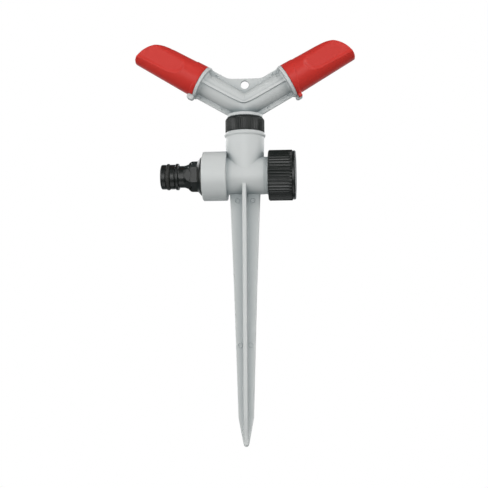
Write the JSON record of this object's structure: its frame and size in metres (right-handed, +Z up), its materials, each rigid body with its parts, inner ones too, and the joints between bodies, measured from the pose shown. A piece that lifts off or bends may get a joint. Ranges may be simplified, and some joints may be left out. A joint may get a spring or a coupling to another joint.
{
  "type": "rotary garden sprinkler",
  "caption": "Rotary garden sprinkler on a ground spike: V-shaped spinning head with turnable spray nozzles, tee with hose connector and screw-on end cap.",
  "frame": {"origin": "tip of the ground spike, on the spin axis of the rotor head", "axes": "+Z up along the spike and the spin axis; +X along the tee from the hose connector to the end cap; the arms lie in the XZ plane at rest"},
  "size_m": [0.1422, 0.0324, 0.2568],
  "materials": {
    "grey_plastic": "satin moulded",
    "red_plastic": "satin moulded",
    "black_plastic": "satin moulded",
    "bearing_plastic": "smooth moulded",
    "seal_rubber": "matte"
  },
  "bodies": {
    "base": {"body": "grey_plastic", "neck_seal": "seal_rubber", "lower_washer": "bearing_plastic", "upper_washer": "bearing_plastic", "swivel_nut": "black_plastic", "hose_connector": "black_plastic", "connector_o_ring": "seal_rubber", "connector_washer": "seal_rubber"},
    "rotor": {"spindle": "bearing_plastic", "spindle_o_ring": "seal_rubber", "rotor_head": "grey_plastic", "arm_jet_left": "bearing_plastic", "arm_jet_right": "bearing_plastic", "arm_o_ring_left": "seal_rubber", "arm_o_ring_right": "seal_rubber"},
    "left_nozzle": {"nozzle_left": "red_plastic"},
    "right_nozzle": {"nozzle_right": "red_plastic"},
    "cap_carrier": {"end_cap_washer": "seal_rubber"},
    "cap": {"end_cap": "black_plastic"}
  },
  "joints": [
    {"name": "rotor_spin", "type": "hinge", "parent": "base", "child": "rotor", "pos_m": [0, 0, 0.2163], "axis": [0, 0, 1], "continuous": true},
    {"name": "right_nozzle_turn", "type": "hinge", "parent": "rotor", "child": "right_nozzle", "pos_m": [0.02849, 0, 0.23275], "axis": [-0.866, 0, -0.5], "range_deg": [0, 320]},
    {"name": "left_nozzle_turn", "type": "hinge", "parent": "rotor", "child": "left_nozzle", "pos_m": [-0.02849, 0, 0.23275], "axis": [0.866, 0, -0.5], "range_deg": [0, 320]},
    {"name": "cap_advance", "type": "slide", "parent": "base", "child": "cap_carrier", "axis": [1, 0, 0], "range_m": [0, 0.0109]},
    {"name": "cap_unscrew", "type": "hinge", "parent": "cap_carrier", "child": "cap", "pos_m": [0.0228, 0, 0.171], "axis": [1, 0, 0], "range_deg": [0, 2160]}
  ],
  "couplings": [
    {"joint": "cap_advance", "follows": "cap_unscrew", "m_per_rad": 0.00028871}
  ]
}
